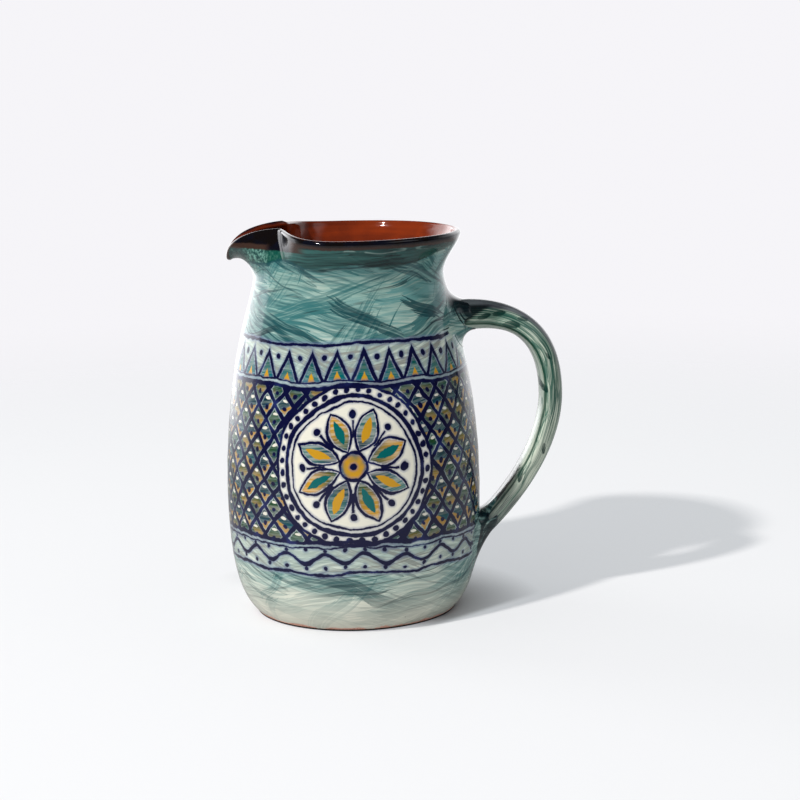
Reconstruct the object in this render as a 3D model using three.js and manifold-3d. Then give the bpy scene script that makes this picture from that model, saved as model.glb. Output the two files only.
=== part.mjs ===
// Hand-thrown earthenware jug: a thrown body with a pulled, pinched spout, and a pulled strap handle
// luted on with a coil of soft clay at each end.
// Millimetres, +Z up. The origin is the middle of the foot, on the jug's axis. The spout looks to -X,
// the handle to +X.
import * as THREE from 'three';
import { mergeVertices } from 'three/addons/utils/BufferGeometryUtils.js';
import Module from 'manifold-3d';

// Thrown body: height of the rim and of the belly's widest ring, height of the flared collar above the neck,
// and radii of the outside.
const RIM_HEIGHT = 190;
const BELLY_HEIGHT = 62;
const COLLAR_HEIGHT = 21;
const FOOT_RADIUS = 51;
const BELLY_RADIUS = 63.5;
const NECK_RADIUS = 47.2;
const RIM_RADIUS = 55.7;

// Clay thickness: wall of the body, wall at the lip, floor.
const WALL = 5;
const LIP = 3.4;
const FLOOR = 7;
const FOOT_BEVEL = 1.2;
const FLOOR_CORNER = 16;

// Spout: how much of the round rim is drawn into it on each side, how far round from its middle the rim is
// pinched in, how far down the wall the pull is felt, the pinched throat and the tip. Reaches are measured
// from the axis; lift and droop from the plane of the rim.
const SPOUT_RUN = 80;
const PINCH_RUN = 47.5;
const SPOUT_DEPTH = 24;
const THROAT_REACH = 31.5;
const THROAT_HALF_WIDTH = 19.5;
const THROAT_LIFT = 3.7;
const TIP_REACH = 60.5;
const TIP_DROOP = 10;

// Strap handle: how far under the neck its middle line leaves the wall, how far under that it reaches
// furthest out, how high it rejoins the wall, how far it stands off the belly, the strap's width and
// thickness at the root and at the tail, and the swelling of the root and how far along the strap that runs.
const ROOT_DROP = 23;
const REACH_DROP = 39;
const TAIL_HEIGHT = 33.5;
const STAND_OFF = 36;
const ROOT_WIDTH = 23;
const ROOT_THICKNESS = 12.5;
const TAIL_WIDTH = 18.5;
const TAIL_THICKNESS = 10;
const ROOT_SWELL = 3.3;
const SWELL_RUN = 39;
const STRAP_SQUARENESS = 2.6;

// Joints: radius of the wiped coil of clay, the thinnest edge it is wiped to, how far the tail's coil is
// wiped up and down the wall, the gap between pieces that touch, and how deep the strap's line starts.
const COIL = 8;
const COIL_EDGE = 0.9;
const TAIL_WIPE_UP = 3.6;
const TAIL_WIPE_DOWN = 14;
const CLEARANCE = 0.3;
const EMBED = 4;

// Columns of facets on each half of the body: from the handle to the drawn rim, on to the pinched throat,
// and along the beak.
const BACK_COLUMNS = 18;
const PINCH_COLUMNS = 14;
const BEAK_COLUMNS = 16;
const HALF_COLUMNS = BACK_COLUMNS + PINCH_COLUMNS + BEAK_COLUMNS;
const STRAP_STEPS = 40;
const STRAP_SIDES = 20;

const neckZ = RIM_HEIGHT - COLLAR_HEIGHT;
const lipZ = RIM_HEIGHT - LIP / 2;
const wasm = await Module();
wasm.setup();

// Outside of the wall from the foot to the start of the rounded rim: a full belly, a drawn-in neck and a
// flared collar.
function outsideCurve() {
  const path = new THREE.Path();
  const spread = BELLY_RADIUS - FOOT_RADIUS;
  const rise = neckZ - BELLY_HEIGHT;
  const collar = lipZ - neckZ;
  const flare = RIM_RADIUS - NECK_RADIUS;
  path.moveTo(FOOT_RADIUS, FOOT_BEVEL);
  path.bezierCurveTo(
    FOOT_RADIUS + 0.68 * spread, 0.145 * BELLY_HEIGHT,
    BELLY_RADIUS, 0.42 * BELLY_HEIGHT,
    BELLY_RADIUS, BELLY_HEIGHT,
  );
  path.bezierCurveTo(
    BELLY_RADIUS, BELLY_HEIGHT + 0.58 * rise,
    NECK_RADIUS, neckZ - 0.094 * rise,
    NECK_RADIUS, neckZ,
  );
  path.bezierCurveTo(
    NECK_RADIUS, neckZ + 0.38 * collar,
    RIM_RADIUS - 0.17 * flare, lipZ - 0.34 * collar,
    RIM_RADIUS, lipZ,
  );
  return path;
}

const outside = outsideCurve();
const outsideLength = outside.getLength();
const wallSamples = outside.getSpacedPoints(400);

// Outer radius of the wall at a height.
function radiusAt(z) {
  const k = wallSamples.findIndex((p) => p.y >= z);
  const upper = wallSamples[k < 1 ? 1 : k];
  const lower = wallSamples[k < 1 ? 0 : k - 1];
  const share = (z - lower.y) / (upper.y - lower.y);
  return lower.x + share * (upper.x - lower.x);
}

// Thickness of the wall at a height: even up to the neck, then thinned to the lip.
function thicknessAt(height) {
  const share = THREE.MathUtils.smoothstep(height, neckZ, lipZ);
  return THREE.MathUtils.lerp(WALL, LIP, share);
}

// Middle of the wall in the plane of the profile, at share u of the outside curve.
function middleAt(u) {
  const p = outside.getPointAt(THREE.MathUtils.clamp(u, 0, 1));
  const t = outside.getTangentAt(THREE.MathUtils.clamp(u, 0, 1));
  const half = thicknessAt(p.y) / 2;
  return new THREE.Vector2(p.x - t.y * half, p.y + t.x * half);
}

const rimMiddle = middleAt(1);

const pinchAngle = Math.PI - PINCH_RUN / rimMiddle.x;
const drawnAngle = Math.PI - SPOUT_RUN / rimMiddle.x;

// Edge of the drawn lip on one side of the spout: in from the round rim to the pinched throat, where clay
// pushed in from both sides stands up a little, then out along the beak and down over its hooked tip.
function lipCurves() {
  const start = new THREE.Vector3(
    rimMiddle.x * Math.cos(drawnAngle),
    rimMiddle.x * Math.sin(drawnAngle),
    rimMiddle.y,
  );
  const along = new THREE.Vector3(-Math.sin(drawnAngle), Math.cos(drawnAngle), 0);
  const throat = new THREE.Vector3(-THROAT_REACH, THROAT_HALF_WIDTH, rimMiddle.y + THROAT_LIFT);
  const tip = new THREE.Vector3(-TIP_REACH + LIP / 2, 0, rimMiddle.y - TIP_DROOP);
  const width = THROAT_HALF_WIDTH;
  return {
    pinch: new THREE.CubicBezierCurve3(
      start,
      start.clone().addScaledVector(along, 0.36 * rimMiddle.x),
      throat.clone().add(new THREE.Vector3(0.18 * width, 0.95 * width, -0.3 * THROAT_LIFT)),
      throat,
    ),
    beak: new THREE.CubicBezierCurve3(
      throat,
      throat.clone().sub(new THREE.Vector3(0.33 * width, 0.26 * width, 0)),
      tip.clone().add(new THREE.Vector3(0, 0.82 * width, 1.13 * TIP_DROOP)),
      tip,
    ),
  };
}

const lip = lipCurves();

// How far the rim moves at an angle round the jug when the spout is drawn.
function lipMove(angle) {
  const round = Math.atan2(Math.sin(angle), Math.cos(angle));
  const turn = Math.abs(round);
  if (turn <= drawnAngle) return new THREE.Vector3();
  const target = turn < pinchAngle
    ? lip.pinch.getPointAt((turn - drawnAngle) / (pinchAngle - drawnAngle))
    : lip.beak.getPointAt((turn - pinchAngle) / (Math.PI - pinchAngle));
  const side = round < 0 ? -1 : 1;
  const from = new THREE.Vector3(rimMiddle.x * Math.cos(angle), rimMiddle.x * Math.sin(angle), rimMiddle.y);
  return new THREE.Vector3(target.x, side * target.y, target.z).sub(from);
}

// Middle surface of the wall with the spout drawn out of it. The pull dies away down the wall, and its lift
// sooner than its reach.
function wallPoint(angle, u) {
  const m = middleAt(u);
  const p = new THREE.Vector3(m.x * Math.cos(angle), m.x * Math.sin(angle), m.y);
  const down = (1 - u) * outsideLength;
  if (down >= SPOUT_DEPTH) return p;
  const pull = 1 - down / SPOUT_DEPTH;
  return p.add(lipMove(angle).multiply(new THREE.Vector3(pull ** 2, pull ** 2, pull ** 3)));
}

// Skin of the wall: off the middle surface by half the thickness, outside (+1) to inside (-1), with the
// rounded edge carried past the end of the wall.
function skinPoint(angle, u, side) {
  const step = 1e-3;
  const low = Math.min(u, 1 - step);
  const round = wallPoint(angle + step, u).sub(wallPoint(angle - step, u));
  const up = wallPoint(angle, low + step).sub(wallPoint(angle, low - step)).normalize();
  const normal = round.cross(up).normalize();
  const half = thicknessAt(middleAt(u).y) / 2;
  const p = wallPoint(angle, u).addScaledVector(normal, side * half);
  return u < 1 ? p : p.addScaledVector(up, half * Math.sqrt(Math.max(0, 1 - side * side)));
}

// Stations up the wall, closer together where it turns out of the foot and where the lip is drawn.
function stations(low, count, collarCount) {
  const collar = 1 - (1.05 * SPOUT_DEPTH) / outsideLength;
  const out = [];
  for (let k = 0; k < count; k += 1) out.push(THREE.MathUtils.lerp(low, collar, (k / count) ** 1.4));
  for (let k = 0; k < collarCount; k += 1) out.push(THREE.MathUtils.lerp(collar, 1, k / collarCount));
  return out;
}

// Angle of a column of facets, counted round from the handle.
function columnAngle(column) {
  const near = Math.min(column, 2 * HALF_COLUMNS - column);
  const pinchAt = BACK_COLUMNS + PINCH_COLUMNS;
  let angle = THREE.MathUtils.mapLinear(near, pinchAt, HALF_COLUMNS, pinchAngle, Math.PI);
  if (near < pinchAt) angle = THREE.MathUtils.mapLinear(near, BACK_COLUMNS, pinchAt, drawnAngle, pinchAngle);
  if (near < BACK_COLUMNS) angle = (drawnAngle * near) / BACK_COLUMNS;
  return column > HALF_COLUMNS ? -angle : angle;
}

// A profile turned about the axis, with its columns of facets where the spout needs them. The place of a
// point comes from its row in the profile and its angle.
function turned(profile, place) {
  const geometry = new THREE.LatheGeometry(profile, 2 * HALF_COLUMNS);
  const position = geometry.attributes.position;
  for (let i = 0; i < position.count; i += 1) {
    const row = i % profile.length;
    const angle = columnAngle(Math.floor(i / profile.length));
    const p = place(row, angle);
    position.setXYZ(i, p.x, p.y, p.z);
  }
  return geometry;
}

const onCircle = (p, angle) => new THREE.Vector3(p.x * Math.cos(angle), p.x * Math.sin(angle), p.y);

// Vessel: the profile of foot, wall, rim, inside and floor is turned about the axis, with every ring of the
// wall set on the skin of the drawn form.
function vesselGeometry() {
  const rows = [];
  const flat = (x, y) => rows.push({ x, y });
  const skin = (u, side) => rows.push({ u, side });
  flat(0, 0);
  flat(FOOT_RADIUS - FOOT_BEVEL, 0);
  stations(0, 13, 10).forEach((u) => skin(u, 1));
  [1, 0.7, 0, -0.7, -1].forEach((side) => skin(1, side));
  const corner = FLOOR + FLOOR_CORNER;
  const low = wallSamples.findIndex((p) => p.y >= corner) / (wallSamples.length - 1);
  stations(low, 10, 9).reverse().forEach((u) => skin(u, -1));
  const foot = skinPoint(0, low, -1);
  const bend = new THREE.QuadraticBezierCurve(
    new THREE.Vector2(foot.x, foot.z),
    new THREE.Vector2(foot.x - 0.18 * FLOOR_CORNER, FLOOR),
    new THREE.Vector2(foot.x - 1.25 * FLOOR_CORNER, FLOOR),
  );
  bend.getPoints(6).slice(1).forEach((p) => flat(p.x, p.y));
  flat(0, FLOOR);
  const profile = rows.map((row) => {
    if (row.u === undefined) return new THREE.Vector2(row.x, row.y);
    const p = skinPoint(0, row.u, row.side);
    return new THREE.Vector2(p.x, p.z);
  });
  return turned(profile, (k, angle) => {
    const row = rows[k];
    return row.u === undefined ? onCircle(profile[k], angle) : skinPoint(angle, row.u, row.side);
  });
}

// Solid bounded by the outside of the wall, grown by a gap: what the handle and the coils are fitted to.
function wallForm(gap) {
  const profile = [new THREE.Vector2(0, -gap), new THREE.Vector2(FOOT_RADIUS + gap, -gap)];
  stations(0, 13, 10).forEach((u) => {
    const p = outside.getPointAt(u);
    const t = outside.getTangentAt(u);
    profile.push(new THREE.Vector2(p.x + t.y * gap, p.y - t.x * gap));
  });
  profile.push(new THREE.Vector2(RIM_RADIUS + gap, lipZ), new THREE.Vector2(0, lipZ));
  return turned(profile, (k, angle) => onCircle(profile[k], angle));
}

// Middle line of the strap, from inside the wall at the root to inside the wall at the tail.
function strapCurve() {
  const rootZ = neckZ - ROOT_DROP;
  const reachZ = rootZ - REACH_DROP;
  const reach = BELLY_RADIUS + STAND_OFF;
  const root = new THREE.Vector3(radiusAt(rootZ) - EMBED, 0, rootZ);
  const tail = new THREE.Vector3(radiusAt(TAIL_HEIGHT) - EMBED, 0, TAIL_HEIGHT);
  const far = new THREE.Vector3(reach, 0, reachZ);
  const fall = reachZ - TAIL_HEIGHT;
  const curve = new THREE.CurvePath();
  curve.add(new THREE.CubicBezierCurve3(
    root,
    new THREE.Vector3(THREE.MathUtils.lerp(root.x, reach, 0.68), 0, rootZ + 0.15 * REACH_DROP),
    new THREE.Vector3(reach, 0, reachZ + 0.77 * REACH_DROP),
    far,
  ));
  curve.add(new THREE.CubicBezierCurve3(
    far,
    new THREE.Vector3(reach, 0, reachZ - 0.36 * fall),
    new THREE.Vector3(THREE.MathUtils.lerp(tail.x, reach, 0.53), 0, TAIL_HEIGHT + 0.27 * fall),
    tail,
  ));
  return curve;
}

const strap = strapCurve();
const strapLength = strap.getLength();

// Half sizes of the strap's section at share v of its length, with the swelling of its root.
function strapHalves(v) {
  const rest = Math.max(0, 1 - ((v * strapLength) / SWELL_RUN) ** 2);
  const swell = ROOT_SWELL * rest ** 2;
  return {
    wide: THREE.MathUtils.lerp(ROOT_WIDTH, TAIL_WIDTH, v) / 2,
    thick: (THREE.MathUtils.lerp(ROOT_THICKNESS, TAIL_THICKNESS, v) + swell) / 2,
  };
}

// Point of a rounded-rectangle section, sharing one squareness.
function sectionPoint(angle, wide, thick) {
  const power = 2 / STRAP_SQUARENESS;
  const c = Math.cos(angle);
  const s = Math.sin(angle);
  return new THREE.Vector2(
    wide * Math.sign(c) * Math.abs(c) ** power,
    thick * Math.sign(s) * Math.abs(s) ** power,
  );
}

// Loft through a list of rings, closed at both ends by a fan.
function loft(rings) {
  const sides = rings[0].length;
  const points = rings.flat();
  const middle = (ring) => ring.reduce((sum, p) => sum.add(p), new THREE.Vector3()).divideScalar(sides);
  const first = points.length;
  points.push(middle(rings[0]), middle(rings[rings.length - 1]));
  const index = [];
  for (let k = 0; k + 1 < rings.length; k += 1) {
    for (let j = 0; j < sides; j += 1) {
      const a = k * sides + j;
      const b = k * sides + ((j + 1) % sides);
      index.push(a, b, a + sides, b, b + sides, a + sides);
    }
  }
  const last = (rings.length - 1) * sides;
  for (let j = 0; j < sides; j += 1) {
    const next = (j + 1) % sides;
    index.push(first, next, j, first + 1, last + j, last + next);
  }
  const geometry = new THREE.BufferGeometry().setFromPoints(points);
  geometry.setIndex(index);
  return geometry;
}

// Strap with its section square to the middle line, grown all round by a gap.
function strapGeometry(gap) {
  const rings = [];
  for (let k = 0; k <= STRAP_STEPS; k += 1) {
    const v = k / STRAP_STEPS;
    const p = strap.getPoint(v);
    const t = strap.getTangent(v);
    const { wide, thick } = strapHalves(v);
    const ring = [];
    for (let j = 0; j < STRAP_SIDES; j += 1) {
      const q = sectionPoint((2 * Math.PI * j) / STRAP_SIDES, wide + gap, thick + gap);
      ring.push(new THREE.Vector3(p.x - t.z * q.y, q.x, p.z + t.x * q.y));
    }
    rings.push(ring);
  }
  return loft(rings);
}

// Share of the strap's length where its middle line stands a distance off the wall, near one end.
function strapAt(distance, from, to) {
  let near = from;
  let far = to;
  for (let k = 0; k < 40; k += 1) {
    const v = (near + far) / 2;
    const p = strap.getPoint(v);
    if (p.x - radiusAt(p.z) < distance) near = v;
    else far = v;
  }
  return near;
}

// Coil wiped round one end of the strap: sections laid along the wall that open out in a hollow curve
// toward it, as far up and down the wall as it is wiped.
function coilGeometry(from, to, wipeUp, wipeDown) {
  const rings = [];
  const hollow = Math.sqrt(1 - (1 - COIL_EDGE / COIL) ** 2);
  const start = strapAt(-EMBED / 2, from, to);
  const end = strapAt(COIL * (1 - hollow), from, to);
  const seat = strap.getPoint(strapAt(0, from, to)).z;
  const lean = radiusAt(seat + COIL_EDGE) - radiusAt(seat - COIL_EDGE);
  const along = new THREE.Vector2(lean, 2 * COIL_EDGE).normalize();
  for (let k = 0; k <= 8; k += 1) {
    const v = THREE.MathUtils.lerp(start, end, k / 8);
    const p = strap.getPoint(v);
    const t = strap.getTangent(v);
    const { wide, thick } = strapHalves(v);
    const open = THREE.MathUtils.clamp(1 - (p.x - radiusAt(p.z)) / COIL, 0, 1);
    const flare = 1 - Math.sqrt(1 - open * open);
    const tall = thick / Math.abs(t.x * along.y - t.z * along.x);
    const ring = [];
    for (let j = 0; j < STRAP_SIDES; j += 1) {
      const angle = (2 * Math.PI * j) / STRAP_SIDES;
      const q = sectionPoint(angle, wide, tall);
      const side = q.x + flare * COIL * Math.cos(angle);
      const wipe = Math.sin(angle) < 0 ? wipeDown : wipeUp;
      const up = q.y + flare * Math.sin(angle) * wipe;
      ring.push(new THREE.Vector3(p.x + up * along.x, side, p.z + up * along.y));
    }
    rings.push(ring);
  }
  return loft(rings);
}

function toSolid(geometry) {
  const bare = geometry.clone();
  bare.deleteAttribute('normal');
  bare.deleteAttribute('uv');
  const merged = mergeVertices(bare, 1e-4);
  const triangles = [];
  const index = merged.index.array;
  for (let k = 0; k < index.length; k += 3) {
    const [a, b, c] = [index[k], index[k + 1], index[k + 2]];
    if (a !== b && b !== c && a !== c) triangles.push(a, b, c);
  }
  const mesh = new wasm.Mesh({
    numProp: 3,
    vertProperties: new Float32Array(merged.attributes.position.array),
    triVerts: new Uint32Array(triangles),
  });
  return new wasm.Manifold(mesh);
}

function toGeometry(solid) {
  const mesh = solid.getMesh();
  const geometry = new THREE.BufferGeometry();
  geometry.setAttribute('position', new THREE.BufferAttribute(new Float32Array(mesh.vertProperties), 3));
  geometry.setIndex(new THREE.BufferAttribute(new Uint32Array(mesh.triVerts), 1));
  geometry.computeVertexNormals();
  return geometry;
}

const clearWall = toSolid(wallForm(CLEARANCE));
const clearStrap = toSolid(strapGeometry(CLEARANCE));
const handle = toSolid(strapGeometry(0)).subtract(clearWall);
const fitted = (coil) => toSolid(coil).subtract(clearWall).subtract(clearStrap);
const upperCoil = fitted(coilGeometry(0, 0.35, COIL, COIL));
const lowerCoil = fitted(coilGeometry(1, 0.7, TAIL_WIPE_UP, TAIL_WIPE_DOWN));

const glaze = (color, roughness) => new THREE.MeshStandardMaterial({ color, roughness, metalness: 0 });

const jug = new THREE.Group();
jug.name = 'jug';

function addPiece(name, geometry, material) {
  const piece = new THREE.Mesh(geometry, material);
  piece.name = name;
  jug.add(piece);
}

addPiece('thrown_body', vesselGeometry(), glaze(0x9fbdb2, 0.25));
addPiece('strap_handle', toGeometry(handle), glaze(0xa8c6b8, 0.25));
addPiece('upper_joint_coil', toGeometry(upperCoil), glaze(0x3a5a66, 0.3));
addPiece('lower_joint_coil', toGeometry(lowerCoil), glaze(0x3a5a66, 0.3));

export default jug;
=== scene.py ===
import math
from collections import namedtuple

import bpy
import numpy as np
from mathutils import Euler, Matrix, Vector, noise
from mathutils.geometry import interpolate_bezier


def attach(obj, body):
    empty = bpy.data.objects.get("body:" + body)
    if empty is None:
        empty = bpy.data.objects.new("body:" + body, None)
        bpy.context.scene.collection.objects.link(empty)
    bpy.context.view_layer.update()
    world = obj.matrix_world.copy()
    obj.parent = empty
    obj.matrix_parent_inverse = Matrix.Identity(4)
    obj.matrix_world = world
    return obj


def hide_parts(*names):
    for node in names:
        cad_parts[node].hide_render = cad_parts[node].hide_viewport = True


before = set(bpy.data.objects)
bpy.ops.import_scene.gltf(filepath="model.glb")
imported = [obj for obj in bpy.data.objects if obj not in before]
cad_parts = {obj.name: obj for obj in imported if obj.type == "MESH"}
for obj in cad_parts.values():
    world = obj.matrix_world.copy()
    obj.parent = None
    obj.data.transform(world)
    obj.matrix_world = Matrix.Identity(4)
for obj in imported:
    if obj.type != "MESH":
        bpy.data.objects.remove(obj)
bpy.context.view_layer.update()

MM = 0.001

# Thrown body, as in the part's source: radii of the outside and heights, in millimetres.
RIM_HEIGHT = 190
FOOT_RADIUS = 51
BELLY_RADIUS = 63.5
NECK_RADIUS = 47.2
RIM_RADIUS = 55.7
BELLY_Z = 62
NECK_Z = RIM_HEIGHT - 21
WALL = 5
LIP = 3.4
FLOOR = 7
FOOT_BEVEL = 1.2
FLOOR_CORNER = 16
LIP_Z = RIM_HEIGHT - LIP / 2

# Pulled spout, with the small roll of clay that stands beside the pinch.
SPOUT_RUN = 80
PINCH_RUN = 47.5
SPOUT_DEPTH = 24
ROLL_HEIGHT = 12
ROLL_STAND = 1.2
ROLL_OFF = 3.0
ROLL_SPREAD = 1.05
THROAT_REACH = 31.5
THROAT_HALF_WIDTH = 19.5
THROAT_LIFT = 3.7
TIP_REACH = 60.5
TIP_DROOP = 10

# Unevenness of a pot thrown by hand, in millimetres.
WANDER = 0.35
RIPPLE_OUTSIDE = 0.1
RIPPLE_INSIDE = 0.22
TRUE_FOOT = 4
WANDER_RISE = 20
LIP_WANDER_DEPTH = 14

# Strap handle and the coils that are wiped round its ends.
ROOT_Z = NECK_Z - 23
REACH_Z = ROOT_Z - 39
TAIL_Z = 33.5
STAND_OFF = 36
ROOT_SWELL = 3.3
SWELL_RUN = 39
ROOT_WIDTH = 23
ROOT_THICKNESS = 12.5
TAIL_SHARE = 0.8
EMBED = 4
COIL = 8
TAIL_WIPE_UP = 0.45
TAIL_WIPE_DOWN = 1.75
COIL_SQUARENESS = 2 / 2.6
STRAP_FULLNESS = 0.71
OVAL_FULLNESS = 0.5523
SEAT_DEPTH = 2
TAIL_SEAT_RISE = 4
SEAT_RADIUS = 60
TRIM_REACH = 30
TRIM_STAND = 12

# How finely lines and rings are divided, and the small steps over which directions are taken.
COLUMNS = 288
OUTSIDE_RINGS = (84, 26)
INSIDE_RINGS = (50, 24)
RIM_RINGS = 11
FLOOR_RINGS = 14
COIL_SIDES = 72
COIL_STEPS = 16
CURVE_STEPS = 240
STRAP_STEPS = 160
SPAN_STEPS = 64
SECTION_STEPS = 10
SLOPE_STEP = 0.2
RISE_STEP = 0.3
TURN_STEP = 0.02


def clear_selection():
    if bpy.context.object and bpy.context.object.mode != "OBJECT":
        bpy.ops.object.mode_set(mode="OBJECT")
    bpy.ops.object.select_all(action="DESELECT")


# The wall's line, from the foot to the start of the rounded rim, and what is measured along it.

def wall_line():
    spread = BELLY_RADIUS - FOOT_RADIUS
    rise = NECK_Z - BELLY_Z
    collar = LIP_Z - NECK_Z
    flare = RIM_RADIUS - NECK_RADIUS
    spans = [
        ((FOOT_RADIUS, FOOT_BEVEL), (FOOT_RADIUS + 0.68 * spread, 0.145 * BELLY_Z),
         (BELLY_RADIUS, 0.42 * BELLY_Z), (BELLY_RADIUS, BELLY_Z)),
        ((BELLY_RADIUS, BELLY_Z), (BELLY_RADIUS, BELLY_Z + 0.58 * rise),
         (NECK_RADIUS, NECK_Z - 0.094 * rise), (NECK_RADIUS, NECK_Z)),
        ((NECK_RADIUS, NECK_Z), (NECK_RADIUS, NECK_Z + 0.38 * collar),
         (RIM_RADIUS - 0.17 * flare, LIP_Z - 0.34 * collar), (RIM_RADIUS, LIP_Z)),
    ]
    points = []
    for a, b, c, d in spans:
        line = interpolate_bezier(Vector(a), Vector(b), Vector(c), Vector(d), CURVE_STEPS)
        points += line[1:] if points else line
    return np.array([(p.x, p.y) for p in points])


def lengths(points):
    steps = np.linalg.norm(np.diff(points, axis=0), axis=1)
    return np.concatenate([[0], np.cumsum(steps)])


WALL_POINTS = wall_line()
WALL_RUN = lengths(WALL_POINTS)
WALL_LENGTH = WALL_RUN[-1]


def wall_at(run):
    """Outside of the wall at a distance up from the foot: point and direction upward."""
    def point(at):
        at = np.clip(at, 0, WALL_LENGTH)
        return np.stack([np.interp(at, WALL_RUN, WALL_POINTS[:, k]) for k in range(2)], -1)

    run = np.clip(run, 0, WALL_LENGTH)
    along = point(run + SLOPE_STEP) - point(run - SLOPE_STEP)
    return point(run), along / np.linalg.norm(along, axis=-1, keepdims=True)


def wall_radius(z):
    return np.interp(z, WALL_POINTS[:, 1], WALL_POINTS[:, 0])


def wall_thickness(z):
    share = np.clip((z - NECK_Z) / (LIP_Z - NECK_Z), 0, 1)
    return WALL + (LIP - WALL) * share * share * (3 - 2 * share)


def wall_middle(run):
    point, along = wall_at(run)
    half = wall_thickness(point[..., 1]) / 2
    return point + np.stack([-along[..., 1], along[..., 0]], -1) * half[..., None]


RIM_MIDDLE = wall_middle(np.array([WALL_LENGTH]))[0]
PINCH_ANGLE = math.pi - PINCH_RUN / RIM_MIDDLE[0]
DRAWN_ANGLE = math.pi - SPOUT_RUN / RIM_MIDDLE[0]


def lip_edge():
    """Edge of the drawn lip on one side: from the round rim in to the pinched throat, then along the beak
    to its tip."""
    radius, height = RIM_MIDDLE
    start = Vector((radius * math.cos(DRAWN_ANGLE), radius * math.sin(DRAWN_ANGLE), height))
    along = Vector((-math.sin(DRAWN_ANGLE), math.cos(DRAWN_ANGLE), 0))
    throat = Vector((-THROAT_REACH, THROAT_HALF_WIDTH, height + THROAT_LIFT))
    tip = Vector((-TIP_REACH + LIP / 2, 0, height - TIP_DROOP))
    inward = throat + Vector((0.18 * THROAT_HALF_WIDTH, 0.95 * THROAT_HALF_WIDTH, -0.3 * THROAT_LIFT))
    outward = throat - Vector((0.33 * THROAT_HALF_WIDTH, 0.26 * THROAT_HALF_WIDTH, 0))
    hook = tip + Vector((0, 0.82 * THROAT_HALF_WIDTH, 1.13 * TIP_DROOP))
    pinch = interpolate_bezier(start, start + along * 0.36 * radius, inward, throat, CURVE_STEPS)
    beak = interpolate_bezier(throat, outward, hook, tip, CURVE_STEPS)
    return np.array(pinch), np.array(beak)


PINCH_LINE, BEAK_LINE = lip_edge()
PINCH_STEPS, BEAK_STEPS = lengths(PINCH_LINE), lengths(BEAK_LINE)
PINCH_TURNS = DRAWN_ANGLE + (PINCH_ANGLE - DRAWN_ANGLE) * PINCH_STEPS / PINCH_STEPS[-1]
BEAK_TURNS = PINCH_ANGLE + (math.pi - PINCH_ANGLE) * BEAK_STEPS / BEAK_STEPS[-1]
LIP_TURNS = np.concatenate([PINCH_TURNS, BEAK_TURNS[1:]])
LIP_LINE = np.concatenate([PINCH_LINE, BEAK_LINE[1:]])


def lip_move(angle):
    turn = np.arctan2(np.sin(angle), np.cos(angle))
    drawn = np.stack([np.interp(np.abs(turn), LIP_TURNS, LIP_LINE[:, k]) for k in range(3)], -1)
    drawn[:, 1] *= np.where(turn < 0, -1, 1)
    plain = np.stack([RIM_MIDDLE[0] * np.cos(angle), RIM_MIDDLE[0] * np.sin(angle),
                      np.full_like(angle, RIM_MIDDLE[1])], -1)
    return (drawn - plain) * (np.abs(turn) > DRAWN_ANGLE)[:, None]


def pinch_roll(angle, run):
    """How far the roll of clay beside the pinch stands off the outside."""
    turn = np.abs(np.arctan2(np.sin(angle), np.cos(angle)))
    beside = (PINCH_ANGLE - turn) * PINCH_STEPS[-1] / (PINCH_ANGLE - DRAWN_ANGLE)
    down = np.clip((WALL_LENGTH - run) / ROLL_HEIGHT, 0, 1)
    return ROLL_STAND * np.exp(-((beside - ROLL_OFF) / ROLL_SPREAD) ** 2) * (1 - down ** 2) ** 2


def drawn_middle(angle, run):
    middle = wall_middle(run)
    plain = np.stack([middle[:, 0] * np.cos(angle), middle[:, 0] * np.sin(angle), middle[:, 1]], -1)
    pull = np.clip(1 - (WALL_LENGTH - run) / SPOUT_DEPTH, 0, 1)
    return plain + lip_move(angle) * np.stack([pull ** 2, pull ** 2, pull ** 3], -1)


def drawn_skin(angle, run, off, over):
    """Point of the drawn wall, off its middle surface and past its end."""
    around = drawn_middle(angle + TURN_STEP, run) - drawn_middle(angle - TURN_STEP, run)
    low = np.minimum(run, WALL_LENGTH - RISE_STEP)
    up = drawn_middle(angle, low + RISE_STEP) - drawn_middle(angle, low - RISE_STEP)
    up /= np.linalg.norm(up, axis=1, keepdims=True)
    out = np.cross(around, up)
    out /= np.linalg.norm(out, axis=1, keepdims=True)
    off = off + np.clip(off, 0, 1) * pinch_roll(angle, run)
    return drawn_middle(angle, run) + out * off[:, None] + up * over[:, None]


# Body: rings laid up from the foot, over the rim and down to the floor, as a pot is raised.

# A ring: radius and height before the spout is drawn, distance up the wall (none on foot and floor),
# distances off the wall's middle and past its end, and drop below the lip, negative inside.
Ring = namedtuple("Ring", "radius height run off over drop")


def ring_on_wall(run, side, over):
    point, along = wall_at(np.array([run]))
    middle = wall_middle(np.array([run]))[0]
    half = wall_thickness(point[0, 1]) / 2
    out = np.array([along[0, 1], -along[0, 0]])
    place = middle + out * half * side + along[0] * half * over
    drop = (WALL_LENGTH - run) + half * (1 - over)
    return Ring(place[0], place[1], run, half * side, half * over, drop if side >= 0 else -drop)


def wall_steps(start, below, above):
    """Distances up the wall, closer together where the spout is drawn."""
    collar = WALL_LENGTH - 1.1 * SPOUT_DEPTH
    return np.concatenate([np.linspace(start, collar, below, endpoint=False),
                           np.linspace(collar, WALL_LENGTH, above)])


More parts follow.
